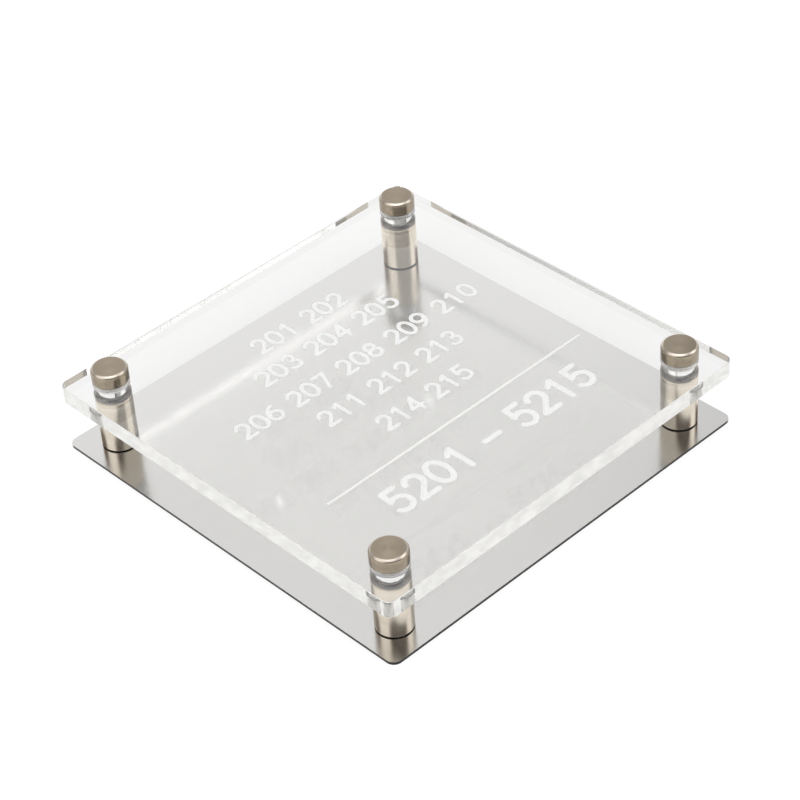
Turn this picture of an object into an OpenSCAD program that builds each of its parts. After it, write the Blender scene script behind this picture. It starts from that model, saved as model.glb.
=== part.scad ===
// Door name plate: a clear front panel is held off a thin steel back plate by four round stand-offs.
// Each stand-off is a barrel, a screw stud, a screw cap and two clear washers that grip the panel.
// The sign lies on its back: X runs along the lines of writing, Y up the sign and Z out of the door.
// The origin is the middle of the back plate's rear face.

/* [Sign] */
// Width of the sign
sign_w = 150; // [100:1:300]
// Height of the sign
sign_h = 150; // [100:1:300]
// From the edges of the sign to the middle of each stand-off
inset = 12; // [9:0.5:25]

/* [Back plate] */
// Thickness of the back plate
plate_t = 1; // [0.8:0.1:3]
// Corner radius of the back plate
plate_corner_r = 3; // [1:0.5:8]

/* [Front panel] */
// Thickness of the clear panel
panel_t = 6; // [3:0.5:10]
// Corner radius of the clear panel
panel_corner_r = 3; // [1:0.5:8]
// Width of the small bevel that takes the sharpness off the panel's edges
panel_bevel = 0.2; // [0.1:0.1:0.6]
// Room between the stud and the wall of the panel's hole, on each side
panel_hole_room = 1; // [0.25:0.25:1]

/* [Stand-offs] */
// Outer diameter of barrels, washers and caps
standoff_d = 12; // [11.5:0.5:18]
// Height of a barrel
barrel_h = 16; // [15:0.5:40]
// Thickness of a barrel's floor, which the wall screw holds down
floor_t = 3; // [3:0.25:4]
// Small bevel at the upper end of a barrel
barrel_bevel = 0.3; // [0.1:0.1:0.6]
// Radius of the rounded foot of a barrel
barrel_foot_r = 0.6; // [0.2:0.1:1]
// Height of a cap
cap_h = 5; // [4:0.5:8]
// Width of the flat bevel round the face of a cap
cap_bevel = 0.5; // [0.2:0.1:0.8]
// Slope of that bevel, in degrees down from the face
cap_bevel_slope = 39; // [25:1:60]
// Radius of the rounded edge between that bevel and the side of the cap
cap_edge_r = 1; // [0.3:0.1:1.2]
// Bevel round the foot of a cap
cap_foot_bevel = 0.4; // [0.1:0.1:0.6]
// Depth of the blind thread in a cap
cap_thread_depth = 3; // [2:0.25:3]

/* [Washers] */
// Thickness of one clear washer
washer_t = 1.5; // [0.5:0.25:3]
// Small bevel on the outer edges of a washer
washer_bevel = 0.2; // [0.05:0.05:0.2]
// Room between the stud and a washer, on each side
washer_room = 0.3; // [0.1:0.05:0.5]

/* [Threads and screws] */
// Outer diameter of the stud's thread
stud_d = 8; // [6:0.5:8]
// Length of stud inside the barrel
stud_engagement = 8; // [5:0.5:9]
// Bevel at both ends of the stud
stud_bevel = 0.6; // [0.2:0.1:0.6]
// Width across the flats of the stud's hexagon socket
socket_af = 4; // [2.5:0.5:4]
// Depth of the hexagon socket
socket_depth = 4; // [2:0.5:4]
// Play between a thread and its bore, on each side
thread_play = 0.05; // [0.02:0.01:0.09]
// Diameter of the holes that the wall screws pass through
screw_hole_d = 4.5; // [3.5:0.1:5]

/* [Hidden] */
// A node's place in its name, with its side along X and along Y.
CORNERS = [
    ["bottom_left", -1, -1],
    ["bottom_right", 1, -1],
    ["top_right", 1, 1],
    ["top_left", -1, 1]
];
FAMILIES = ["barrel", "lower_washer", "stud", "upper_washer", "cap"];

// Heights at which the pieces of the stack meet, from the rear face up.
barrel_z = plate_t;
lower_washer_z = barrel_z + barrel_h;
panel_z = lower_washer_z + washer_t;
upper_washer_z = panel_z + panel_t;
cap_z = upper_washer_z + washer_t;

// The stud runs from inside the barrel, through washers and panel, to the floor of the cap's thread.
stud_z = lower_washer_z - stud_engagement;
stud_h = cap_z + cap_thread_depth - stud_z;

standoff_r = standoff_d / 2;
stud_r = stud_d / 2;
thread_bore_r = stud_r + thread_play;
washer_hole_r = stud_r + washer_room;
panel_hole_r = stud_r + panel_hole_room;
screw_hole_r = screw_hole_d / 2;

// Screw holes run on past the plate's faces by this much, so that no skin is left.
past = 1;
$fn = 96;
// A rounded edge in a turned profile has this many straight steps.
arc_steps = 6;

// Points of an arc round [x, z], from one angle to another.
function arc(x, z, r, start, end) = [
    for (i = [0:arc_steps])
        let (a = start + (end - start) * i / arc_steps) [x + r * cos(a), z + r * sin(a)]
];

// Outline of a rectangle with round corners, centred on the origin.
module rounded_outline(w, h, r) {
    square([w - 2 * r, h], center = true);
    square([w, h - 2 * r], center = true);
    for (x = [-1, 1], y = [-1, 1])
        translate([x * (w / 2 - r), y * (h / 2 - r)]) circle(r);
}

// Right half of a slab's cross-section, from the line x = 0 out to a bevelled edge at x = reach.
function bevelled_half(reach, t, bevel) = [
    [0, 0],
    [reach - bevel, 0],
    [reach, bevel],
    [reach, t - bevel],
    [reach - bevel, t],
    [0, t]
];

// Cross-section of a slab with both edges bevelled, as wide as w.
module bevelled_section(w, t, bevel) {
    polygon(bevelled_half(w / 2, t, bevel));
    mirror([1, 0]) polygon(bevelled_half(w / 2, t, bevel));
}

// Flat slab with round corners and a bevel along every edge, standing on z = 0.
module bevelled_slab(w, h, t, r, bevel) {
    rotate([90, 0, 0])
        linear_extrude(h - 2 * r, center = true) bevelled_section(w, t, bevel);
    rotate([90, 0, 90])
        linear_extrude(w - 2 * r, center = true) bevelled_section(h, t, bevel);
    for (x = [-1, 1], y = [-1, 1])
        translate([x * (w / 2 - r), y * (h / 2 - r), 0])
            rotate_extrude() polygon(bevelled_half(r, t, bevel));
}

// Stands its child on the axis of one stand-off.
module at_corner(corner) {
    translate([corner[1] * (sign_w / 2 - inset), corner[2] * (sign_h / 2 - inset), 0]) children();
}

// Thin steel sheet behind everything, with one screw hole under each barrel.
module back_plate() {
    color("lightgray")
        difference() {
            linear_extrude(plate_t) rounded_outline(sign_w, sign_h, plate_corner_r);
            for (corner = CORNERS)
                at_corner(corner)
                    translate([0, 0, -past]) cylinder(h = plate_t + 2 * past, r = screw_hole_r);
        }
}

// Clear panel that carries the writing, with a wide hole round each stud.
module front_panel() {
    color([0.92, 0.96, 0.95, 0.4])
        difference() {
            translate([0, 0, panel_z])
                bevelled_slab(sign_w, sign_h, panel_t, panel_corner_r, panel_bevel);
            for (corner = CORNERS)
                at_corner(corner)
                    translate([0, 0, panel_z - past]) cylinder(h = panel_t + 2 * past, r = panel_hole_r);
        }
}

// Turned barrel: a thread bore from the top, ending in a funnel that seats the head of a wall screw,
// a screw hole through the floor and a rounded foot.
module barrel() {
    funnel_top = barrel_z + floor_t;
    funnel_foot = funnel_top - (thread_bore_r - screw_hole_r);
    barrel_top = barrel_z + barrel_h;
    color([0.72, 0.68, 0.62])
        rotate_extrude()
            polygon(concat(
                [[screw_hole_r, barrel_z]],
                arc(standoff_r - barrel_foot_r, barrel_z + barrel_foot_r, barrel_foot_r, -90, 0),
                [
                    [standoff_r, barrel_top - barrel_bevel],
                    [standoff_r - barrel_bevel, barrel_top],
                    [thread_bore_r, barrel_top],
                    [thread_bore_r, funnel_top],
                    [screw_hole_r, funnel_foot]
                ]
            ));
}

// Clear washer with its underside at height z.
module washer(z) {
    color([0.88, 0.91, 0.93, 0.6])
        rotate_extrude()
            polygon([
                [washer_hole_r, z],
                [standoff_r - washer_bevel, z],
                [standoff_r, z + washer_bevel],
                [standoff_r, z + washer_t - washer_bevel],
                [standoff_r - washer_bevel, z + washer_t],
                [washer_hole_r, z + washer_t]
            ]);
}

// Set screw that ties the cap to the barrel, with a hexagon socket in its lower end.
module stud() {
    color("silver")
        difference() {
            rotate_extrude()
                polygon([
                    [0, stud_z],
                    [stud_r - stud_bevel, stud_z],
                    [stud_r, stud_z + stud_bevel],
                    [stud_r, stud_z + stud_h - stud_bevel],
                    [stud_r - stud_bevel, stud_z + stud_h],
                    [0, stud_z + stud_h]
                ]);
            translate([0, 0, stud_z - past])
                cylinder(h = socket_depth + past, d = socket_af / cos(30), $fn = 6);
        }
}

// Turned cap: a flat face, a bevel and a rounded edge round it, a fine bevel round the foot and a
// blind thread below.
module cap() {
    cap_top = cap_z + cap_h;
    thread_top = cap_z + cap_thread_depth;
    bevel_foot = cap_top - cap_bevel * tan(cap_bevel_slope);
    edge_z = bevel_foot - cap_edge_r * cos(cap_bevel_slope);
    face_r = standoff_r - cap_edge_r * (1 - sin(cap_bevel_slope)) - cap_bevel;
    color([0.62, 0.57, 0.51])
        rotate_extrude()
            polygon(concat(
                [
                    [thread_bore_r, cap_z],
                    [standoff_r - cap_foot_bevel, cap_z],
                    [standoff_r, cap_z + cap_foot_bevel]
                ],
                arc(standoff_r - cap_edge_r, edge_z, cap_edge_r, 0, 90 - cap_bevel_slope),
                [
                    [face_r, cap_top],
                    [0, cap_top],
                    [0, thread_top],
                    [thread_bore_r, thread_top]
                ]
            ));
}

back_plate();
front_panel();
for (corner = CORNERS) {
    at_corner(corner) barrel();
    at_corner(corner) washer(lower_washer_z);
    at_corner(corner) stud();
    at_corner(corner) washer(upper_washer_z);
    at_corner(corner) cap();
}
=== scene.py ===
# %% [markdown]
# # A clear door sign on four turned stand-offs
#
# The sign is a square of clear acrylic, held off a thin sheet of brushed steel by four round
# stand-offs. The construction is already there: the frame brings every piece at its true size.
# This lesson dresses it. It makes finer surfaces for what is clear or turned, because glass and
# polished metal show every flat facet, and it writes a finish for each material.

# %% Load the frame
import math

import bmesh
import bpy
import numpy as np
from mathutils import Matrix, Vector


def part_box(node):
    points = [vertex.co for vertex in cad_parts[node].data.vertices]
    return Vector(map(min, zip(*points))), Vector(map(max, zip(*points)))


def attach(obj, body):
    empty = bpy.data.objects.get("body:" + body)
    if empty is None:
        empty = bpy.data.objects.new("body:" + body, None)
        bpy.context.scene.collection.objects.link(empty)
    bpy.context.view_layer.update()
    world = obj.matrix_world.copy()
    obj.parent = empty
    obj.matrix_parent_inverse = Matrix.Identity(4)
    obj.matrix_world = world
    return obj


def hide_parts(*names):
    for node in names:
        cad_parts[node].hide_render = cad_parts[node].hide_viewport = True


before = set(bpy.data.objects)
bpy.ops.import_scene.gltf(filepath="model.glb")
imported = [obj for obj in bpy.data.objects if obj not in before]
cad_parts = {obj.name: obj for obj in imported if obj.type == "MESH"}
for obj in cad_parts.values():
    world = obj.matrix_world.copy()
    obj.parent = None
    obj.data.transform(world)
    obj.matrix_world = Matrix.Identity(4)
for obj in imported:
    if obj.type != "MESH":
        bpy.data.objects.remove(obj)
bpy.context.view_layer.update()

MM = 0.001
CORNERS = ("bottom_left", "bottom_right", "top_right", "top_left")

# %% [markdown]
# ## Sizes that the pieces share
#
# Each piece is measured from the frame, so that nothing here can drift away from it. Only what the
# frame's boxes can't tell, such as a bevel or a thread's pitch, is given as a number of its own.

# %% Measure the frame
def span(node):
    """Lowest and highest corner of a node, as two arrays in metres."""
    low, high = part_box(node)
    return np.array(low), np.array(high)


def axis_of(corner):
    """Where the axis of one stand-off meets the ground: the middle of its barrel's box."""
    low, high = span(f"barrel_{corner}")
    return (low[:2] + high[:2]) / 2


def heights(node):
    """Lowest and highest z of a node."""
    low, high = span(node)
    return low[2], high[2]


HALF_SIDE = span("front_panel")[1][0]
PANEL_BACK, PANEL_FRONT = heights("front_panel")
barrel_low, barrel_high = span("barrel_top_left")
STANDOFF_R = (barrel_high - barrel_low)[0] / 2
HOLE_AT = axis_of("top_right")[0]
PANEL_CORNER_R = 3 * MM
PANEL_HOLE_R = 5 * MM
THREAD_BORE_R = 4.05 * MM
print(f"panel of {2 * HALF_SIDE / MM:.0f} mm, stand-offs {2 * STANDOFF_R / MM:.0f} mm across")

# %% [markdown]
# ## Camera
#
# The lens looks down on the sign from beyond its bottom left corner. The frame of the photograph
# is square, and the camera leans over a little, which is a roll about its own line of sight.

# %% Place the camera
VIEW_AZIMUTH = math.radians(-41.709)
VIEW_ELEVATION = math.radians(38.547)
VIEW_ROLL = math.radians(-4.247)
AIM = Vector((1.821, 0.193, 12.0)) * MM
DISTANCE = 778.994 * MM
LENS = 110.7
SENSOR_W = 36


def camera_axes(azimuth, elevation, roll):
    """Right, up and back of a camera that looks at the object from an azimuth and an elevation.

    back points from the object to the camera; right is level before the roll turns it about back.
    """
    level = math.cos(elevation)
    back = Vector((math.sin(azimuth) * level, -math.cos(azimuth) * level, math.sin(elevation)))
    right = Vector((math.cos(azimuth), math.sin(azimuth), 0))
    turn = Matrix.Rotation(roll, 3, back)
    return turn @ right, turn @ back.cross(right), back


def place_camera():
    """Adds the camera at its distance from the point that it is aimed at."""
    data = bpy.data.cameras.new("camera")
    data.lens = LENS
    data.sensor_width = SENSOR_W
    camera = bpy.data.objects.new("camera", data)
    bpy.context.scene.collection.objects.link(camera)
    right, up, back = camera_axes(VIEW_AZIMUTH, VIEW_ELEVATION, VIEW_ROLL)
    rotation = Matrix((right, up, back)).transposed().to_4x4()
    camera.matrix_world = Matrix.Translation(AIM + back * DISTANCE) @ rotation
    bpy.context.scene.camera = camera
    print("camera at", [round(v, 3) for v in camera.location])


place_camera()

# %% [markdown]
# ## Writing shader maths as expressions
#
# A shader is a graph, but most of it is arithmetic. Wire wraps one socket, so that
# `1 - mask * 0.5` adds the Math nodes by itself. Every other kind of node comes from Graph.node,
# and the short methods below it name what the finishes ask for again and again.

# %% A socket that can be calculated with
class Wire:
    """An output socket, with the arithmetic that the finishes use."""

    def __init__(self, graph, socket):
        self.graph = graph
        self.socket = socket

    def __add__(self, other):
        return self.graph.maths("ADD", self, other)

    def __sub__(self, other):
        return self.graph.maths("SUBTRACT", self, other)

    def __rsub__(self, other):
        return self.graph.maths("SUBTRACT", other, self)

    def __mul__(self, other):
        return self.graph.maths("MULTIPLY", self, other)

    def __truediv__(self, other):
        return self.graph.maths("DIVIDE", self, other)

    def __rtruediv__(self, other):
        return self.graph.maths("DIVIDE", other, self)

    __radd__ = __add__
    __rmul__ = __mul__


# %% A graph that adds its own nodes
class Graph:
    """A node tree that is being written."""

    def __init__(self, tree):
        self.tree = tree
        tree.nodes.clear()

    def node(self, kind, settings=None, sockets=None, output=0):
        """Adds a node: first its settings, then the value or wire of each named socket. The wire
        that comes back is the output of that name or number."""
        made = self.tree.nodes.new("ShaderNode" + kind)
        for name, value in (settings or {}).items():
            setattr(made, name, value)
        for name, value in (sockets or {}).items():
            if isinstance(value, Wire):
                self.tree.links.new(value.socket, made.inputs[name])
            else:
                made.inputs[name].default_value = value
        return Wire(self, made.outputs[output]) if made.outputs else made

    def maths(self, operation, *values):
        """Adds a Math node."""
        return self.node("Math", {"operation": operation}, dict(enumerate(values)))

    def step(self, value, low, high):
        """Rises smoothly from 0 where value is low to 1 where it is high."""
        sockets = {"Value": value, "From Min": low, "From Max": high}
        return self.node("MapRange", {"interpolation_type": "SMOOTHSTEP"}, sockets)

    def at_least(self, value, count):
        """1 where value, a whole number, is count or more, and 0 where it is less."""
        return self.maths("GREATER_THAN", value, count - 0.5)

    def parts(self, vector):
        """The three coordinates of a vector, as wires."""
        return [self.node("SeparateXYZ", sockets={"Vector": vector}, output=axis) for axis in "XYZ"]

    def place(self, **mapping):
        """The point on the piece, in metres along its own axes, moved or stretched by mapping."""
        point = self.node("TexCoord", output="Object")
        return self.node("Mapping", sockets={"Vector": point, **mapping})

    def upright(self):
        """How far the surface faces up: 1 for straight up, 0 for a wall, -1 for down."""
        return self.parts(self.node("NewGeometry", output="Normal"))[2]

    def path(self, name):
        """A mark or a count of the way that the light has come, by its name on Light Path."""
        return self.node("LightPath", output=name)

    def noise(self, scale, detail=2.0, roughness=0.5, point=None):
        """Cloudy noise from 0 to 1, with scale in features per metre, read at a point."""
        return self.node("TexNoise", sockets={
            "Vector": point or self.place(), "Scale": scale, "Detail": detail,
            "Roughness": roughness,
        })

    def bump(self, strength, height, distance=0.02 * MM):
        """The normal of a surface that rises by distance where height goes from 0 to 1."""
        return self.node("Bump", sockets={
            "Strength": strength, "Distance": distance, "Height": height,
        })

    def blend(self, factor, first, second):
        """Colour that goes from first to second as factor goes from 0 to 1. A Mix node keeps its
        colours at inputs 6 and 7, and the blend of them at output 2."""
        sockets = {0: factor, 6: first, 7: second}
        return self.node("Mix", {"data_type": "RGBA"}, sockets, output=2)

    def glow(self, strength, colour):
        """A shader that gives off light."""
        return self.node("Emission", sockets={"Color": colour, "Strength": strength})

    def mix(self, factor, first, second):
        """Shader that goes from first to second as factor goes from 0 to 1."""
        return self.node("MixShader", sockets={0: factor, 1: first, 2: second})

    def close(self, surface):
        """Ends a material with the shader of its surface."""
        self.node("OutputMaterial", sockets={"Surface": surface})


WHITE = (1, 1, 1, 1)
BLACK = (0, 0, 0, 1)


def new_finish(name):
    """An empty material and the graph of its nodes."""
    material = bpy.data.materials.new(name)
    material.use_nodes = True
    return material, Graph(material.node_tree)


# %% [markdown]
# ## Light
#
# The photograph is a white studio shot. What the camera looks at is plain white, and so is what it
# sees straight through the clear pieces. Metal shows the rest of the studio too: a white backdrop
# behind the sign, a soft light overhead, one on each side, pale walls low down and the dark room
# round the camera. Without those the turned metal would be one flat tone. Lamps would light the
# object, but metal would show them as hard shapes, so the studio is painted on the world. The
# world has both, and the path that a ray has come along decides which of them it meets. How often
# the ray has bounced decides how dark the room may be: the steel sheet stays grey from every side,
# and the turned metal still gets the dark bands that make it look round.

# %% Light the studio
ALL_ROUND = 180
ROOM = 0.2
SINGLE_LEVEL = 0.32
EVEN_LEVEL = 0.9
CAUGHT_LEVEL = 0.5
WALL_LEVEL = 0.72
LIGHTS = {
    "backdrop": {"turn": -170, "reach": 22, "soft": 12, "low": -0.1, "high": 0.95, "fade": 0.3,
                 "level": 1.04, "through": 1.11, "caught": 1.11},
    "left light": {"turn": -60, "reach": 28, "soft": 13, "low": 0.4, "high": 0.75, "fade": 0.09,
                   "level": 1.9, "through": 1.1, "caught": 2.0},
    "right light": {"turn": 87, "reach": 22, "soft": 8, "low": 0.4, "high": 0.75, "fade": 0.06,
                    "level": 2.0, "through": 1.1, "caught": 2.1},
    "ceiling": {"turn": 0, "reach": ALL_ROUND, "soft": 0, "low": 0.87, "high": 1.1, "fade": 0.06,
                "level": 2.6, "through": 1.0, "caught": 1.0},
}
WALLS = {"turn": 0, "reach": ALL_ROUND, "soft": 0, "low": -0.1, "high": 0.46, "fade": 0.08}
CAMERA_GAP = {"turn": 23, "reach": 44, "soft": 13, "low": -1.0, "high": 0.84, "fade": 0.04}
GAP_DEPTH = 0.93
GAP_GLARE = 0.75
FOOT_FADE = 0.06
HORIZON_FADE = 0.03
METAL_WARMTH = (1.0, 0.6, 0.4, 1)
WARM_RANGE = (0.9, 0.1)


def studio_patch(graph, direction, patch):
    """Mask of one part of the studio: 1 inside, 0 outside, with soft borders.

    turn is where its middle stands, in degrees round the upright from the camera, to its right.
    reach is half its width, and soft is how far its sides fade to either side of that. low and
    high bound it by the height of a unit direction, and fade is how softly it ends at the top.
    """
    x, y, z = direction
    lower = graph.step(z, patch["low"] - FOOT_FADE, patch["low"] + FOOT_FADE)
    upper = graph.step(z, patch["high"] + patch["fade"], patch["high"] - patch["fade"])
    if patch["reach"] == ALL_ROUND:
        return lower * upper
    turn = VIEW_AZIMUTH + math.radians(patch["turn"])
    level_length = graph.maths("SQRT", x * x + y * y)
    towards = (x * math.sin(turn) + y * -math.cos(turn)) / level_length
    outer = math.cos(math.radians(patch["reach"] + patch["soft"]))
    inner = math.cos(math.radians(patch["reach"] - patch["soft"]))
    return graph.step(towards, outer, inner) * lower * upper


def studio_level(graph, through, deep):
    """Brightness of the studio in each direction: the room, plus each light, less the dark gap
    where the camera stands. Low down, pale walls stand all round, and below the horizon it is
    white, as the ground is.

    through is 1 for a ray that left a clear piece, and deep is 1 if it has bounced twice or more.
    A light's three strengths are level for bare metal, through for what lies under the panel and
    caught for what is caught in it. A ray that bounced once off bare metal sees nothing darker
    than SINGLE_LEVEL. The steel under the panel sees an almost even studio, of EVEN_LEVEL at least
    and with a weaker gap, for the glare over it. Light caught in the panel sees nothing darker
    than CAUGHT_LEVEL. Only bare metal that mirrors bare metal sees the full dark.
    """
    direction = graph.parts(graph.node("TexCoord", output="Generated"))
    caught = through * deep
    level = ROOM
    for light in LIGHTS.values():
        strength = through * (light["through"] - light["level"]) + light["level"]
        strength = caught * (light["caught"] - light["through"]) + strength
        level = studio_patch(graph, direction, light) * strength + level
    gap = studio_patch(graph, direction, CAMERA_GAP) * (GAP_DEPTH - through * GAP_GLARE)
    least = through * EVEN_LEVEL + caught * (CAUGHT_LEVEL - EVEN_LEVEL)
    least = (1 - through) * (1 - deep) * SINGLE_LEVEL + least
    level = graph.maths("MAXIMUM", level * (1 - gap), least)
    level = graph.maths("MAXIMUM", level, studio_patch(graph, direction, WALLS) * WALL_LEVEL)
    return graph.maths("MAXIMUM", level, graph.step(direction[2], 0.0, -HORIZON_FADE))


def light_studio():
    """Plain white where the camera looks, also straight through a clear piece, and the studio
    where it looks by way of a reflection. What lies dark between two pieces of bare metal takes
    on some of their warmth."""
    world = bpy.data.worlds.new("studio")
    world.use_nodes = True
    bpy.context.scene.world = world
    graph = Graph(world.node_tree)
    through = graph.path("Is Transmission Ray")
    bounces = graph.path("Glossy Depth")
    deep = graph.at_least(bounces, 2)
    level = studio_level(graph, through, deep)
    warmth = graph.step(level, *WARM_RANGE) * deep * (1 - through)
    straight = through * (1 - graph.at_least(bounces, 1))
    plain = graph.maths("MAXIMUM", graph.path("Is Camera Ray"), straight)
    light = graph.node("Background", sockets={
        "Color": graph.blend(plain, graph.blend(warmth, WHITE, METAL_WARMTH), WHITE),
        "Strength": level * (1 - plain) + plain,
    })
    graph.node("OutputWorld", sockets={"Surface": light})
    print("studio with", len(LIGHTS), "lights and", len(world.node_tree.nodes), "nodes")


light_studio()

# %% [markdown]
# ## Ground
#
# The sign lies on white paper without an end. A lit white floor would turn grey in a studio with
# dark parts, and more light would bleach the sign. So the floor is a plain disc that gives off
# most of its white by itself, and the rest is light that falls on it, which the sign can shade.

# %% Lay the ground
GROUND_R = 3.0
GROUND_SIDES = 64
GROUND_TONE = (0.22, 0.22, 0.22, 1)
GROUND_GLOW = 0.8
# Painted shade: the floor gives off less light where it is seen through a clear piece.
GROUND_SHADE_UNDER_CLEAR = 0.17


def lay_ground():
    """A white disc under the sign: point(a) = (R cos a, R sin a, 0). It adds light of its own
    where it is looked at or mirrored, and a little less where a clear piece lies over it, as
    painted shade under that piece."""
    turn = np.linspace(0, 2 * np.pi, GROUND_SIDES, endpoint=False)
    rim = np.stack([GROUND_R * np.cos(turn), GROUND_R * np.sin(turn), 0 * turn], axis=1)
    mesh = bpy.data.meshes.new("ground")
    mesh.from_pydata(rim.tolist(), [], [list(range(GROUND_SIDES))])
    ground = bpy.data.objects.new("ground", mesh)
    bpy.context.scene.collection.objects.link(ground)
    material, graph = new_finish("white_ground")
    lit = (1 - graph.path("Is Diffuse Ray")) * GROUND_GLOW
    glow = graph.glow(lit - graph.path("Is Transmission Ray") * GROUND_SHADE_UNDER_CLEAR, WHITE)
    matt = graph.node("BsdfDiffuse", sockets={"Color": GROUND_TONE})
    graph.close(graph.node("AddShader", sockets={0: matt, 1: glow}))
    mesh.materials.append(material)
    print("ground", 2 * GROUND_R, "m across")


lay_ground()
bpy.context.scene.view_settings.view_transform = "Standard"

# %% [markdown]
# ## Surfaces from two parameters
#
# A turned piece is a profile that goes round an axis, and a grid of points says it all: one
# parameter runs along the profile, the other round the axis. The same grid helper makes every
# new piece. A Screw modifier could turn a profile too, but it can't make the panel or the
# writing, and one way for all of them is easier to follow.

# %% Meshes from grids of points
def grid_faces(rows, columns, wrap_rows, wrap_columns):
    """Corner numbers of the quads between neighbouring points of a grid, as whole arrays."""
    i, j = np.meshgrid(
        np.arange(rows if wrap_rows else rows - 1),
        np.arange(columns if wrap_columns else columns - 1),
        indexing="ij",
    )
    below, beside = (i + 1) % rows, (j + 1) % columns
    quads = [i * columns + j, below * columns + j, below * columns + beside, i * columns + beside]
    return np.stack(quads, axis=-1).reshape(-1, 4)


def weld(mesh, distance=1e-7):
    """Merges points that lie on each other, drops faces that this closes, and turns every face
    outwards."""
    work = bmesh.new()
    work.from_mesh(mesh)
    bmesh.ops.remove_doubles(work, verts=work.verts, dist=distance)
    bmesh.ops.dissolve_degenerate(work, edges=work.edges, dist=distance)
    bmesh.ops.recalc_face_normals(work, faces=work.faces)
    work.to_mesh(mesh)
    work.free()


def new_piece(name, grids, material, sharp_above=30):
    """An object from grids of points: each is (points, wrap_rows, wrap_columns).

    Faces are shaded smooth, except across edges that turn by more than sharp_above degrees.
    """
    points, faces, count = [], [], 0
    for surface, wrap_rows, wrap_columns in grids:
        rows, columns = surface.shape[:2]
        faces.append(grid_faces(rows, columns, wrap_rows, wrap_columns) + count)
        points.append(surface.reshape(-1, 3))
        count += rows * columns
    mesh = bpy.data.meshes.new(name)
    mesh.from_pydata(np.concatenate(points), [], np.concatenate(faces).tolist())
    weld(mesh)
    mesh.shade_smooth()
    mesh.set_sharp_from_angle(angle=math.radians(sharp_above))
    mesh.materials.append(material)
    piece = bpy.data.objects.new(name, mesh)
    bpy.context.scene.collection.objects.link(piece)
    print(name, "has", len(mesh.polygons), "faces")
    return piece


# %% Profiles and how they turn
EASED_R = 0.05 * MM


def arc(x, y, reach_x, reach_y, start, end, steps=25):
    """Points (x + a cos t, y + b sin t), with t from start to end in degrees."""
    t = np.radians(np.linspace(start, end, steps))
    return np.stack([x + reach_x * np.cos(t), y + reach_y * np.sin(t)], axis=1)


def eased(corners, steps=5):
    """A polyline whose inner corners are rounded: each corner becomes the curve
    (1-t)^2 a + 2t(1-t) corner + t^2 b, where a and b lie EASED_R away along its two sides."""
    corners = np.asarray(corners, dtype=float)
    t = np.linspace(0, 1, steps)[:, None]
    line = [corners[0]]
    for before, here, after in zip(corners[:-2], corners[1:-1], corners[2:]):
        a = here + (before - here) / np.linalg.norm(before - here) * EASED_R
        b = here + (after - here) / np.linalg.norm(after - here) * EASED_R
        line.extend((1 - t) ** 2 * a + 2 * t * (1 - t) * here + t ** 2 * b)
    line.append(corners[-1])
    return np.array(line)


def turned(profile, centre, steps=128):
    """Grid of a profile of (radius, height) pairs that goes round the upright axis at centre.

    point(k, a) = (centre x + r(k) cos a, centre y + r(k) sin a, z(k))
    """
    angle = np.linspace(0, 2 * np.pi, steps, endpoint=False)
    radius, height = np.asarray(profile).T
    x = centre[0] + radius[:, None] * np.cos(angle)
    y = centre[1] + radius[:, None] * np.sin(angle)
    z = np.broadcast_to(height[:, None], x.shape)
    return np.stack([x, y, z], axis=-1)


# %% [markdown]
# ## Steel sheet
#
# The back plate is stainless sheet, brushed in one direction. The brush leaves long fine lines.
# They could be an image, but a noise that is stretched a hundredfold along X has no end and no
# seam. The plate is flat, so it keeps the mesh of its construction, and only the finish is new.

# %% Write the steel sheet
STEEL_DARK = (0.54, 0.535, 0.53, 1)
STEEL_LIGHT = (0.60, 0.595, 0.585, 1)
# The cut edge is near black: partly its dull cut, partly painted shade along the ground.
CUT_EDGE_SHADE = (0.05, 0.048, 0.045, 1)
LINES_PER_M = 6000
LINE_STRETCH = (0.01, 1, 1)
CLOUDS_PER_M = 30
STEEL_ROUGHNESS = 0.13
# A tilt says how far a normal points up, from 1 on a level face to 0 on a wall. Its two numbers
# are where a mask starts and where it is complete.
EDGE_TILT = (0.6, 0.3)


def brushed_steel(name):
    """Stainless sheet brushed along X: long fine lines that spread the light across them. Its cut
    edge is near black: partly its dull cut, and partly painted shade where the sheet meets the
    ground."""
    material, graph = new_finish(name)
    lines = graph.noise(LINES_PER_M, roughness=0.6, point=graph.place(Scale=LINE_STRETCH))
    cloud = graph.noise(CLOUDS_PER_M)
    edge = graph.step(graph.maths("ABSOLUTE", graph.upright()), *EDGE_TILT)
    face = graph.blend(lines, STEEL_DARK, STEEL_LIGHT)
    graph.close(graph.node("BsdfPrincipled", sockets={
        "Base Color": graph.blend(edge, face, CUT_EDGE_SHADE), "Metallic": 1.0,
        "Roughness": lines * 0.06 + cloud * 0.03 + STEEL_ROUGHNESS,
        "Normal": graph.bump(0.2, lines),
    }))
    return material


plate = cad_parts["back_plate"].data
plate.materials.clear()
plate.materials.append(brushed_steel("plate_steel"))
print("steel on a plate of", len(plate.polygons), "faces")

# %% [markdown]
# ## Clear acrylic
#
# The panel is cast acrylic with polished faces and polished cut edges. A glass shader bends and
# mirrors the light as the real one does, but light that bounces along inside the panel needs
# dozens of bounces to get out, and is cut off black before that. In a white studio it would come
# out white, so its path is ended early and given that white. Light Path counts the bounces.

# %% Write the light that is caught in the panel
CAUGHT_TONE = (1, 0.995, 0.97, 1)
CAUGHT_DIM = 0.76
CAUGHT_BRIGHT = 0.9
CAUGHT_PER_M = 300
CAUGHT_RANGE = (0.35, 0.65)


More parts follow.
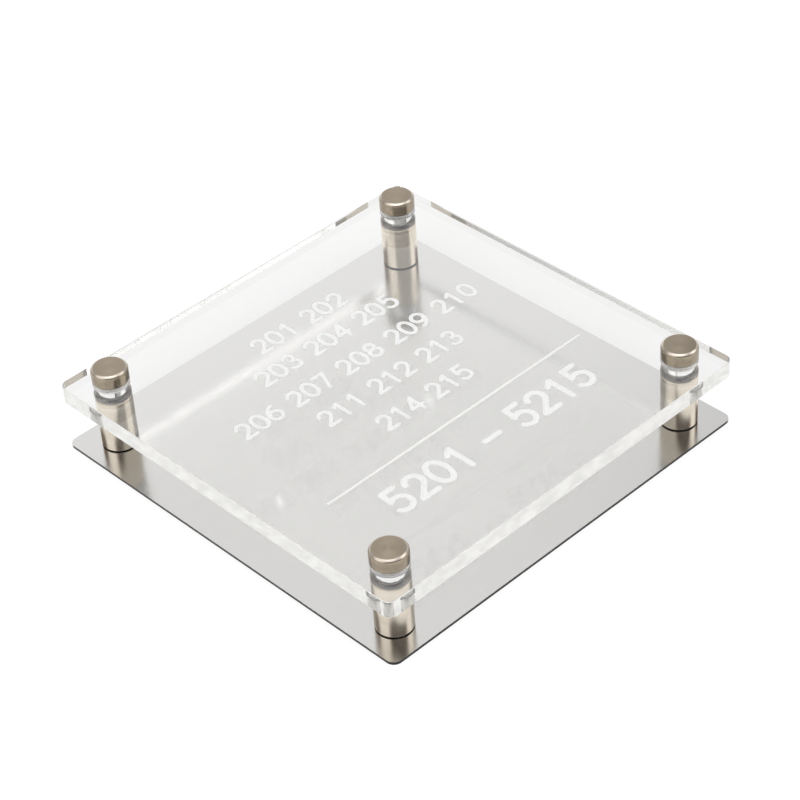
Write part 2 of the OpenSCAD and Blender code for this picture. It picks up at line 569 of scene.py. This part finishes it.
def long_path(graph, wall=0):
    """1 for light that has bounced along inside the panel, and 0 for the rest.

    A path is long where its bounces less half its crossings of clear surfaces are over 1.2: two
    bounces are enough after it came in once, and three after the steel has sent it in again. On a
    wall the share is 0.4 and the limit 1, so that two are enough also where it came out once.
    """
    bounces = graph.path("Glossy Depth")
    crossings = graph.path("Transmission Depth")
    return graph.maths("GREATER_THAN", bounces - crossings * (0.5 - wall * 0.1), 1.2 - wall * 0.2)


def caught_light(graph):
    """The glow of light caught in the panel, cloudy between two levels of brightness."""
    cloud = graph.step(graph.noise(CAUGHT_PER_M), *CAUGHT_RANGE)
    dim, bright = graph.glow(CAUGHT_DIM, CAUGHT_TONE), graph.glow(CAUGHT_BRIGHT, CAUGHT_TONE)
    return graph.mix(cloud, dim, bright)


# %% Write the acrylic
ACRYLIC_TONE = (0.985, 0.985, 0.98, 1)
ACRYLIC_IOR = 1.49
CUT_TILT = (0.9, 0.6)
WALL_TILT = (0.6, 0.4)
HAZE_PER_M = 150
HAZE_RANGE = (0.4, 0.65)
CUT_ROUGHNESS = 0.04
HAZE_ROUGHNESS = 0.15
MIRROR_SHARE = 0.9
# The outline is a painted reflection: a grey glow on the top of the far walls.
OUTLINE_H = 2.4 * MM
OUTLINE_TONE = (1, 0.995, 0.98, 1)
OUTLINE_LEVEL = 0.78


def clear_acrylic(name):
    """Cast acrylic, polished on its faces and a little less on its cut edges.

    A far wall, which is seen from inside before any bounce, is a clean mirror. The upper
    OUTLINE_H of it, between the stand-offs, glows grey instead: a painted reflection that draws
    the panel's thin grey outline.
    """
    material, graph = new_finish(name)
    x, y, z = graph.parts(graph.node("TexCoord", output="Object"))
    far_x, far_y = graph.maths("ABSOLUTE", x), graph.maths("ABSOLUTE", y)
    reach = graph.maths("MAXIMUM", far_x, far_y)
    along = graph.maths("MINIMUM", far_x, far_y)
    upright = graph.maths("ABSOLUTE", graph.upright())
    outside = graph.step(reach, HOLE_AT + PANEL_HOLE_R, HALF_SIDE - PANEL_CORNER_R)
    cut = graph.step(upright, *CUT_TILT) * outside
    inside = graph.at_least(graph.path("Transmission Depth"), 1)
    inside = inside * (1 - graph.at_least(graph.path("Glossy Depth"), 1))
    haze = graph.step(graph.noise(HAZE_PER_M, detail=3.0), *HAZE_RANGE)
    rough = cut * (haze * HAZE_ROUGHNESS + CUT_ROUGHNESS) * (1 - inside * MIRROR_SHARE)
    clear = graph.node("BsdfPrincipled", sockets={
        "Base Color": ACRYLIC_TONE, "Roughness": rough, "IOR": ACRYLIC_IOR,
        "Transmission Weight": 1.0,
    })
    top = graph.step(z, PANEL_FRONT - OUTLINE_H, PANEL_FRONT - OUTLINE_H / 2)
    between = graph.step(along, HOLE_AT - STANDOFF_R, HOLE_AT - 2 * STANDOFF_R)
    # A painted grey glow in place of the wall's own reflection.
    grey = graph.glow(OUTLINE_LEVEL, OUTLINE_TONE)
    outlined = graph.mix(cut * inside * top * between, clear, grey)
    wall = graph.step(upright, *WALL_TILT)
    graph.close(graph.mix(long_path(graph, wall), outlined, caught_light(graph)))
    return material


ACRYLIC = clear_acrylic("clear_acrylic")
print("acrylic written with", len(ACRYLIC.node_tree.nodes), "nodes")

# %% [markdown]
# ## The panel
#
# The panel is a square plate with round corners, a fine bevel along its outer edges, which a
# maker calls the arris, and a wide hole for each stand-off. A Boolean would cut the holes, but it
# leaves long thin faces that glass shows up. Here one quarter is a set of grids round one hole,
# and mirrors make the other three.

# %% Make the panel
ARRIS = 0.2 * MM
INNER_STEPS = 13
QUARTERS = ((1, 1), (-1, 1), (-1, -1), (1, -1))


def quarter_rim(steps=12, side_steps=16):
    """Core point and outward direction along the outer rim of one quarter of the panel, from the
    middle of its right side, round the corner, to the middle of its upper side."""
    core = HALF_SIDE - PANEL_CORNER_R
    rise = np.linspace(0, core, side_steps)
    angle = np.linspace(0, np.pi / 2, steps)
    right = np.stack([np.full(side_steps, core), rise], axis=1)
    corner = np.full((steps, 2), core)
    upper = right[::-1, ::-1]
    heading = np.concatenate([np.zeros(side_steps), angle, np.full(side_steps, np.pi / 2)])
    keep = np.ones(len(heading), dtype=bool)
    keep[[side_steps, side_steps + steps]] = False
    points = np.concatenate([right, corner, upper])
    outward = np.stack([np.cos(heading), np.sin(heading)], axis=1)
    return points[keep], outward[keep]


def lifted(flat_points, z):
    """Flat points at the height z."""
    return np.concatenate([flat_points, np.full((len(flat_points), 1), z)], axis=1)


def quarter_panel():
    """Grids of one quarter of the panel: outer wall with its fine bevels, two faces, hole wall.

    wall(k, s) = core(s) + outward(s) d(k), at height z(k). A face runs from the loop of the
    quarter's border straight to the rim of the hole: each point of the loop has the point of the
    rim that lies towards it, hole + r (cos a, sin a), with a the angle from the hole to it.
    """
    core, outward = quarter_rim()
    wall = np.array([
        (PANEL_CORNER_R - ARRIS, PANEL_FRONT),
        (PANEL_CORNER_R, PANEL_FRONT - ARRIS),
        (PANEL_CORNER_R, PANEL_BACK + ARRIS),
        (PANEL_CORNER_R - ARRIS, PANEL_BACK),
    ])
    flat = core + outward * wall[:, 0, None, None]
    height = np.broadcast_to(wall[:, 1, None, None], (*flat.shape[:2], 1))
    outer = np.concatenate([flat, height], axis=-1)
    inner_side = np.linspace(0, 1, INNER_STEPS)[1:, None]
    middle = outer[0, -1, :2] * (1 - inner_side)
    middle_right = outer[0, 0, :2] * inner_side
    loop = np.concatenate([outer[0, :, :2], middle, middle_right[:-1]])
    angle = np.arctan2(loop[:, 1] - HOLE_AT, loop[:, 0] - HOLE_AT)
    rim = HOLE_AT + PANEL_HOLE_R * np.stack([np.cos(angle), np.sin(angle)], axis=1)
    front = np.stack([lifted(loop, PANEL_FRONT), lifted(rim, PANEL_FRONT)])
    back = np.stack([lifted(loop, PANEL_BACK), lifted(rim, PANEL_BACK)])
    hole = np.stack([lifted(rim, PANEL_FRONT), lifted(rim, PANEL_BACK)])
    return [(outer, False, False), (front, False, True), (back, False, True), (hole, False, True)]


def make_panel():
    """The panel is its quarter, mirrored into the four corners."""
    grids = []
    for x_sign, y_sign in QUARTERS:
        mirrored = np.array([x_sign, y_sign, 1])
        grids += [(surface * mirrored, rows, columns) for surface, rows, columns in quarter_panel()]
    panel = new_piece("clear_panel", grids, ACRYLIC)
    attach(panel, "root")
    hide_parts("front_panel")


make_panel()

# %% [markdown]
# ## Satin nickel
#
# Caps and barrels are turned and plated. The tool leaves fine rings round the axis: on the face of
# a cap they are circles, on its side they are level lines. A wave texture would make them all
# alike. Here they are a noise that is read at the radius and the height of each point, so that it
# changes along the profile and hardly changes round it.

# %% Write the nickel
BARREL_NICKEL = (0.80, 0.728, 0.62)
# The caps are the same nickel as the barrels, painted darker as shade.
CAP_SHADED_NICKEL = (0.43, 0.362, 0.278)
# Painted highlight: the bevel's lighter colour.
BEVEL_HIGHLIGHT = (0.62, 0.56, 0.49, 1)
# Painted shade at the feet and in the bores, and how high it reaches above a foot.
PAINTED_SHADE = (0.02, 0.017, 0.015, 1)
SHADE_H = 0.6 * MM
FINE_PER_M = 9000
BROAD_PER_M = 1700
MARK_DRIFT = 0.02
MARK_ROUGHNESS = 0.08
FACE_TILT = (0.9, 0.98)
BEVEL_TILT = (0.71, 0.77)
WORN_SHARE = 0.8
FACE_SHADE = 0.29
RIM_SHADE = 0.35


def satin_nickel(name, centre, tone, foot, bore, roughness, along_axis):
    """Warm grey metal with fine turning marks round the axis at centre. They spread the light
    more along the axis than round it, by along_axis.

    A flat face is rougher than the side, and painted darker by FACE_SHADE as shade. A bevel is
    painted lighter, as a highlight. Painted shade darkens the foot, where it stands on the next
    piece, and whatever lies within the radius bore. A wall of the panel mirrors the side that lies
    in the shade, so the metal is painted darker by RIM_SHADE there: a second shader that isn't
    given is black.
    """
    material, graph = new_finish(name)
    x, y, z = graph.parts(graph.place(Location=(-centre[0], -centre[1], 0)))
    radius = graph.maths("SQRT", x * x + y * y)
    ring = graph.node("CombineXYZ", sockets={"X": radius, "Y": z, "Z": x * MARK_DRIFT})
    fine = graph.noise(FINE_PER_M, point=ring)
    broad = graph.noise(BROAD_PER_M, detail=3.0, point=ring)
    upright = graph.upright()
    face = graph.step(upright, *FACE_TILT)
    bevel = graph.step(upright, *BEVEL_TILT) * (1 - face)
    worn = graph.blend(broad, (*(WORN_SHARE * part for part in tone), 1), (*tone, 1))
    # The flat face is painted darker, as shade.
    face_shaded = graph.blend(face * FACE_SHADE, worn, BLACK)
    # Painted shade near the foot and within the radius bore.
    low = graph.step(z, foot + SHADE_H, foot + SHADE_H / 2)
    foot_and_bore_shade = graph.maths("MAXIMUM", low, graph.step(radius, bore + SHADE_H / 3, bore))
    metal = graph.node("BsdfPrincipled", sockets={
        "Base Color": graph.blend(foot_and_bore_shade, graph.blend(bevel, face_shaded, BEVEL_HIGHLIGHT), PAINTED_SHADE),
        "Metallic": 1.0, "Roughness": (fine + face + bevel) * MARK_ROUGHNESS + roughness,
        "Normal": graph.bump(0.4, (fine + broad) * (face * 1.5 + 0.5)),
        "Anisotropic": along_axis, "Anisotropic Rotation": 0.25,
    })
    mirrored = graph.path("Is Transmission Ray") * graph.at_least(graph.path("Glossy Depth"), 1)
    graph.close(graph.node("MixShader", sockets={0: mirrored * RIM_SHADE, 1: metal}))
    return material


# %% [markdown]
# ## The barrels
#
# A barrel is the tube that holds the panel off the plate. A wall screw goes through the hole in
# its floor, and the stud is screwed into it from above. All of it is turned, so one closed
# profile says its whole shape, inside and outside, and no edge is left sharper than a real one.

# %% Turn the barrels
SCREW_HOLE_R = 2.25 * MM
FLOOR_T = 3 * MM
BARREL_BEVEL = 0.3 * MM
BARREL_FOOT_R = 0.6 * MM
BORE_SHADE_R = 4.7 * MM
ARC_STEPS = 9


def make_barrel(corner):
    """Tube with a floor and a rounded foot: a thread bore that ends in a funnel over the screw
    hole. Its profile starts and ends inside the screw hole."""
    low, high = heights(f"barrel_{corner}")
    funnel_top = low + FLOOR_T
    funnel_foot = funnel_top - (THREAD_BORE_R - SCREW_HOLE_R)
    start = (SCREW_HOLE_R, low + FLOOR_T / 8)
    foot_at = (STANDOFF_R - BARREL_FOOT_R, low + BARREL_FOOT_R)
    profile = eased([
        start,
        (SCREW_HOLE_R, low),
        *arc(*foot_at, BARREL_FOOT_R, BARREL_FOOT_R, -90, 0, ARC_STEPS),
        (STANDOFF_R, high - BARREL_BEVEL),
        (STANDOFF_R - BARREL_BEVEL, high),
        (THREAD_BORE_R, high),
        (THREAD_BORE_R, funnel_top),
        (SCREW_HOLE_R, funnel_foot),
        start,
    ])
    centre = axis_of(corner)
    finish = satin_nickel(
        f"barrel_nickel_{corner}", centre, BARREL_NICKEL, foot=low, bore=BORE_SHADE_R,
        roughness=0.2, along_axis=0.8,
    )
    surface = turned(profile[:-1], centre)
    barrel = new_piece(f"turned_barrel_{corner}", [(surface, True, True)], finish)
    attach(barrel, "root")
    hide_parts(f"barrel_{corner}")


for corner in CORNERS:
    make_barrel(corner)

# %% [markdown]
# ## The caps
#
# A cap is screwed on by hand and grips the panel. Its flat bevel and the rounded edge below it
# catch the light as the two bright lines round the face, so both are in the profile: a bump could
# fake them from above, but not at the outline.

# %% Turn the caps
CAP_BEVEL = 0.5 * MM
CAP_BEVEL_SLOPE = 39
CAP_EDGE_R = 1.0 * MM
CAP_FOOT_BEVEL = 0.4 * MM
CAP_THREAD_DEPTH = 3 * MM


def make_cap(corner):
    """Cap with a bevel and a rounded edge round its face, a fine bevel round its foot and a blind
    thread. Its profile runs from the middle of its face to the middle of the thread's floor.
    Painted shade darkens its foot alone, so bore is less than any radius."""
    low, high = heights(f"cap_{corner}")
    centre = axis_of(corner)
    slope = math.radians(CAP_BEVEL_SLOPE)
    edge_z = high - CAP_BEVEL * math.tan(slope) - CAP_EDGE_R * math.cos(slope)
    edge_at = (STANDOFF_R - CAP_EDGE_R, edge_z)
    edge = arc(*edge_at, CAP_EDGE_R, CAP_EDGE_R, 90 - CAP_BEVEL_SLOPE, 0, ARC_STEPS)
    profile = eased([
        (0, high),
        (edge[0, 0] - CAP_BEVEL, high),
        *edge,
        (STANDOFF_R, low + CAP_FOOT_BEVEL),
        (STANDOFF_R - CAP_FOOT_BEVEL, low),
        (THREAD_BORE_R, low),
        (THREAD_BORE_R, low + CAP_THREAD_DEPTH),
        (0, low + CAP_THREAD_DEPTH),
    ])
    finish = satin_nickel(
        f"cap_nickel_{corner}", centre, CAP_SHADED_NICKEL, foot=low, bore=-SHADE_H, roughness=0.18,
        along_axis=0.4,
    )
    cap = new_piece(f"turned_cap_{corner}", [(turned(profile, centre), False, True)], finish)
    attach(cap, f"cap_{corner}")
    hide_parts(f"cap_{corner}")


for corner in CORNERS:
    make_cap(corner)

# %% [markdown]
# ## The washers
#
# Soft clear washers keep the metal from scratching the panel. They are small and a little milky,
# so what they show is more glow than glass. As in the panel, light that has bounced inside one is
# ended early, with the glow that it would come out with: those under the panel lie in its shade.

# %% Write the soft plastic
WASHER_IOR = 1.45
WASHER_TONES = ((0.95, 0.94, 0.92, 1), (1.0, 0.99, 0.98, 1))
COOL_GLOW = (0.98, 0.98, 1.0, 1)
WARM_GLOW = (1.0, 0.98, 0.95, 1)
GLOW_SPREAD = 0.4
MILK_PER_M = 900
LAYERS_PER_M = 1100
LAYER_STRETCH = (0.03, 0.03, 1)
LAYER_RANGE = (0.38, 0.62)


def clear_washer(name, glow):
    """Soft clear plastic. Light that has bounced once comes out as a glow in level layers, which
    are dimmer or brighter than glow by GLOW_SPREAD."""
    material, graph = new_finish(name)
    milk = graph.noise(MILK_PER_M)
    clear = graph.node("BsdfPrincipled", sockets={
        "Base Color": graph.blend(milk, *WASHER_TONES), "Roughness": milk * 0.1 + 0.05,
        "IOR": WASHER_IOR, "Transmission Weight": 0.9,
    })
    layers = graph.noise(LAYERS_PER_M, point=graph.place(Scale=LAYER_STRETCH))
    layers = graph.step(layers, *LAYER_RANGE)
    dim = graph.glow(glow * (1 - GLOW_SPREAD), COOL_GLOW)
    bright = graph.glow(glow * (1 + GLOW_SPREAD), WARM_GLOW)
    bounced = graph.at_least(graph.path("Glossy Depth"), 1)
    graph.close(graph.mix(bounced, clear, graph.mix(layers, dim, bright)))
    return material


SHADED_WASHER = clear_washer("shaded_washer", 0.19)
OPEN_WASHER = clear_washer("open_washer", 0.5)

# %% Cut the washers
WASHER_HOLE_R = 4.3 * MM
WASHER_BEVEL = 0.2 * MM
AIR_FILM = 0.02 * MM


def make_washer(node, corner, body, finish):
    """Flat clear ring with softened outer edges. A film of air is left where it touches the panel
    and the metal, as between real pieces: light bends on each side of it."""
    low, high = heights(node)
    low, high = low + AIR_FILM, high - AIR_FILM
    start = (WASHER_HOLE_R, (low + high) / 2)
    profile = eased([
        start,
        (WASHER_HOLE_R, low),
        (STANDOFF_R - WASHER_BEVEL, low),
        (STANDOFF_R, low + WASHER_BEVEL),
        (STANDOFF_R, high - WASHER_BEVEL),
        (STANDOFF_R - WASHER_BEVEL, high),
        (WASHER_HOLE_R, high),
        start,
    ])
    surface = turned(profile[:-1], axis_of(corner))
    washer = new_piece(f"clear_{node}", [(surface, True, True)], finish)
    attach(washer, body)
    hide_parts(node)


for corner in CORNERS:
    make_washer(f"lower_washer_{corner}", corner, "root", SHADED_WASHER)
    make_washer(f"upper_washer_{corner}", corner, f"washer_{corner}", OPEN_WASHER)

# %% [markdown]
# ## The studs
#
# A stud is a headless screw that ties cap and barrel together. Its thread shows through the clear
# washers, and more of it once the cap is unscrewed, so it is a real helix and not a bump: the
# radius is a function of the height and the angle, which takes one grid.

# %% Write the plated steel
STAIN_DARK = (0.6, 0.59, 0.57, 1)
STAIN_LIGHT = (0.78, 0.77, 0.75, 1)
STAINS_PER_M = 500


def thread_steel(name):
    """Bright plated steel, a little stained."""
    material, graph = new_finish(name)
    stain = graph.noise(STAINS_PER_M)
    graph.close(graph.node("BsdfPrincipled", sockets={
        "Base Color": graph.blend(stain, STAIN_DARK, STAIN_LIGHT), "Metallic": 1.0,
        "Roughness": stain * 0.15 + 0.2,
    }))
    return material


THREAD_STEEL = thread_steel("thread_steel")

# %% Cut the studs
PITCH = 1 * MM
THREAD_DEPTH = 0.6 * MM
FLANK_GAIN = 1.25
CREST_SHARE = 0.06
STUD_R = 4 * MM
STUD_BEVEL = 0.6 * MM
SOCKET_AF = 4 * MM
SOCKET_DEPTH = 4 * MM


def threaded(low, high, centre, steps=72, rows_per_turn=10):
    """Grid of a right-hand thread with a hexagon socket in its lower end.

    The radius falls from the crest by the depth times a wave whose phase is z / pitch - angle /
    full turn, and cones at both ends cut the thread down. The socket's wall lies at
    r(a) = half the width across flats / cos a, with a the angle from the middle of a flat.
    """
    angle = np.linspace(0, 2 * np.pi, steps, endpoint=False)
    rows = int((high - low) / PITCH * rows_per_turn) + 1
    z = np.linspace(high, low, rows)[:, None]
    phase = (z / PITCH - angle / (2 * np.pi)) % 1.0
    wave = np.clip(np.abs(2 * phase - 1) * FLANK_GAIN - CREST_SHARE, 0, 1)
    cone = STUD_R - STUD_BEVEL + np.minimum(z - low, high - z)
    radius = np.minimum(STUD_R - THREAD_DEPTH * wave, cone)
    x = centre[0] + radius * np.cos(angle)
    y = centre[1] + radius * np.sin(angle)
    surface = np.stack([x, y, np.broadcast_to(z, x.shape)], axis=-1)
    flat = SOCKET_AF / 2 / np.cos((angle + np.pi / 6) % (np.pi / 3) - np.pi / 6)
    ring = np.stack([centre[0] + flat * np.cos(angle), centre[1] + flat * np.sin(angle)], axis=-1)
    pole_top = np.broadcast_to([*centre, high], (1, steps, 3))
    pole_floor = np.broadcast_to([*centre, low + SOCKET_DEPTH], (1, steps, 3))
    socket = np.stack([lifted(ring, low), lifted(ring, low + SOCKET_DEPTH)])
    return np.concatenate([pole_top, surface, socket, pole_floor])


def make_stud(corner):
    """Set screw that turns with its cap."""
    low, high = heights(f"stud_{corner}")
    grids = [(threaded(low, high, axis_of(corner)), False, True)]
    stud = new_piece(f"threaded_stud_{corner}", grids, THREAD_STEEL, sharp_above=50)
    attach(stud, f"cap_{corner}")
    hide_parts(f"stud_{corner}")


for corner in CORNERS:
    make_stud(corner)

# %% [markdown]
# ## The writing
#
# Door signs like this one are engraved from behind: a round cutter leaves a groove in the rear
# face, which is filled with white and shows through the clear panel. The numbers here are plain
# ones: rooms above the rule and telephones below it. Each digit is a few pen strokes, made of
# arcs and straight lines, and the groove is half an ellipse carried along each stroke. A font
# would give outlines with flat walls, which a cutter doesn't leave.

# %% Draw the digits
DIGIT_W = 0.6


def pen_strokes():
    """The strokes of each digit, in a cell one high and DIGIT_W wide. A stroke has no sharp
    corner: the cutter lifts there and starts another one. A nine is a six turned round."""
    neck = np.concatenate([arc(0.3, 0.7, 0.28, 0.3, 165, -38), [(0.0, 0.0)]])
    hook, bowl = arc(0.62, 0.33, 0.62, 0.67, 100, 180), arc(0.3, 0.31, 0.3, 0.31, 180, 530)
    six = np.concatenate([hook[:-1], bowl])
    return {
        "0": [arc(0.3, 0.5, 0.3, 0.5, 90, 450, 37)],
        "1": [((0.1, 0.8), (0.34, 1.0)), ((0.34, 1.0), (0.34, 0.0))],
        "2": [neck, ((0.0, 0.0), (0.6, 0.0))],
        "3": [arc(0.28, 0.76, 0.25, 0.24, 150, -90), arc(0.28, 0.27, 0.31, 0.27, 85, -150)],
        "4": [((0.46, 0.0), (0.46, 1.0)), ((0.46, 1.0), (0.0, 0.27)), ((0.0, 0.27), (0.64, 0.27))],
        "5": [((0.54, 1.0), (0.1, 1.0)), ((0.1, 1.0), (0.07, 0.55)),
              arc(0.28, 0.32, 0.31, 0.32, 132, -148)],
        "6": [six],
        "7": [((0.0, 1.0), (0.6, 1.0)), ((0.6, 1.0), (0.2, 0.0))],
        "8": [arc(0.3, 0.76, 0.24, 0.24, -90, 270, 29), arc(0.3, 0.27, 0.3, 0.27, 90, 450, 33)],
        "9": [np.array([DIGIT_W, 1.0]) - six],
        "-": [((0.0, 0.45), (0.6, 0.45))],
        " ": [],
    }


STROKES = pen_strokes()
print("characters drawn:", len(STROKES))

# %% Carry the groove along each stroke
GROOVE_DEPTH = 0.3 * MM
GROOVE_SINK = 0.005 * MM


def spread(points, gap):
    """The same line with points at most gap apart and none of the old ones lost."""
    line = [points[:1]]
    for start, end in zip(points[:-1], points[1:]):
        count = int(np.ceil(np.linalg.norm(end - start) / gap))
        line.append(start + (end - start) * np.linspace(0, 1, count + 1)[1:, None])
    return np.concatenate(line)


def groove(points, width, sink=GROOVE_SINK, columns=9):
    """Grid of a filled groove along a flat line: half an ellipse, closed by the rear face.

    point(s, u) = line(s) + side(s) k(s) (w/2) cos u, at height rear - sink + k(s) depth sin u,
    with u from 0 to pi. The line goes on for w/2 past each end, where k falls to 0 as a circle
    does: k = sqrt(1 - (1 - 2 s / w)^2), with s the way to the nearest end. A closed line has
    k = 1.
    """
    points = np.asarray(points, dtype=float)
    closed = bool(np.allclose(points[0], points[-1]))
    if not closed:
        first, last = points[0] - points[1], points[-1] - points[-2]
        points = np.concatenate([
            [points[0] + first / np.linalg.norm(first) * width / 2], points,
            [points[-1] + last / np.linalg.norm(last) * width / 2],
        ])
    line = spread(points, width / 6)
    if closed:
        line, share = line[:-1], np.ones(len(line) - 1)
        heading = np.roll(line, -1, axis=0) - np.roll(line, 1, axis=0)
    else:
        walked = np.concatenate([[0], np.cumsum(np.linalg.norm(np.diff(line, axis=0), axis=1))])
        reach = np.minimum(np.minimum(walked, walked[-1] - walked), width / 2)
        share = np.sqrt(1 - (1 - 2 * reach / width) ** 2)
        heading = np.gradient(line, axis=0)
    heading /= np.linalg.norm(heading, axis=1)[:, None]
    side = np.stack([-heading[:, 1], heading[:, 0]], axis=1)
    u = np.linspace(0, np.pi, columns)
    across = share[:, None] * np.cos(u) * width / 2
    flat = line[:, None] + side[:, None] * across[..., None]
    height = PANEL_BACK - sink + share[:, None] * np.sin(u) * GROOVE_DEPTH
    return np.concatenate([flat, height[..., None]], axis=-1), closed, True


# %% [markdown]
# ## White fill
#
# The grooves are filled with matt paint. From the front it is looked at through the panel, which
# is full of caught light, and from behind it faces bright steel. Both make real paint glow. A
# brighter studio would bleach the rest, so the paint gives off that little light by itself.

# %% Write the white fill
FILL_TONES = ((0.86, 0.87, 0.87, 1), (0.95, 0.95, 0.95, 1))
TRACKS_PER_M = 2500
FRONT_TILT = (0.45, 0.8)
FRONT_GLOW = 0.31
BACK_TILT = (-0.5, -0.9)
BACK_GLOW = 0.8


def white_fill(name):
    """Matt white paint in the cutter's track, a little uneven. Light that is caught in the panel
    makes it glow from above, and what the steel throws back from below."""
    material, graph = new_finish(name)
    tracks = graph.noise(TRACKS_PER_M)
    upright = graph.upright()
    front, back = graph.step(upright, *FRONT_TILT), graph.step(upright, *BACK_TILT)
    lit = front * FRONT_GLOW + back * BACK_GLOW
    paint = graph.node("BsdfPrincipled", sockets={
        "Base Color": graph.blend(tracks, *FILL_TONES), "Roughness": tracks * 0.2 + 0.6,
        "Normal": graph.bump(0.3, tracks, distance=0.03 * MM),
        "Emission Color": graph.blend(lit, BLACK, WHITE), "Emission Strength": 1.0,
    })
    graph.close(graph.mix(long_path(graph), paint, caught_light(graph)))
    return material


# %% Set the rows of numbers
SMALL = {"height": 7.0 * MM, "width": 1.4 * MM, "step": 5.9 * MM, "space": 3.6 * MM}
LARGE = {"height": 10.5 * MM, "width": 2.05 * MM, "step": 8.6 * MM, "space": 5.0 * MM}
ROWS = (
    ("201 202", 41.0 * MM, SMALL),
    ("203 204 205", 27.5 * MM, SMALL),
    ("206 207 208 209 210", 12.5 * MM, SMALL),
    ("211 212 213", -2.0 * MM, SMALL),
    ("214 215", -17.0 * MM, SMALL),
    ("5201 - 5215", -47.3 * MM, LARGE),
)
RULE_Y = -28.0 * MM
RULE_LENGTH = 109.5 * MM
RULE_W = 1.1 * MM


def row_of_digits(words, baseline, style):
    """Grooves of one row, centred on the sign. Strokes that cross end at heights of their own,
    because surfaces in one plane would light each other."""
    steps = [style["space"] if letter == " " else style["step"] for letter in words]
    gap = style["step"] - DIGIT_W * style["height"]
    left = -(sum(steps) - gap) / 2
    grooves = []
    for letter, step in zip(words, steps):
        for count, stroke in enumerate(STROKES[letter], 1):
            line = np.asarray(stroke) * style["height"] + (left, baseline)
            grooves.append(groove(line, style["width"], count * GROOVE_SINK))
        left += step
    return grooves


def engrave():
    """All rows and the rule, as one piece in the rear face of the panel."""
    grooves = [groove([(-RULE_LENGTH / 2, RULE_Y), (RULE_LENGTH / 2, RULE_Y)], RULE_W)]
    for words, baseline, style in ROWS:
        grooves += row_of_digits(words, baseline, style)
    writing = new_piece("engraved_numbers", grooves, white_fill("white_fill"), sharp_above=60)
    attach(writing, "root")
    print("strokes cut:", len(grooves))


engrave()
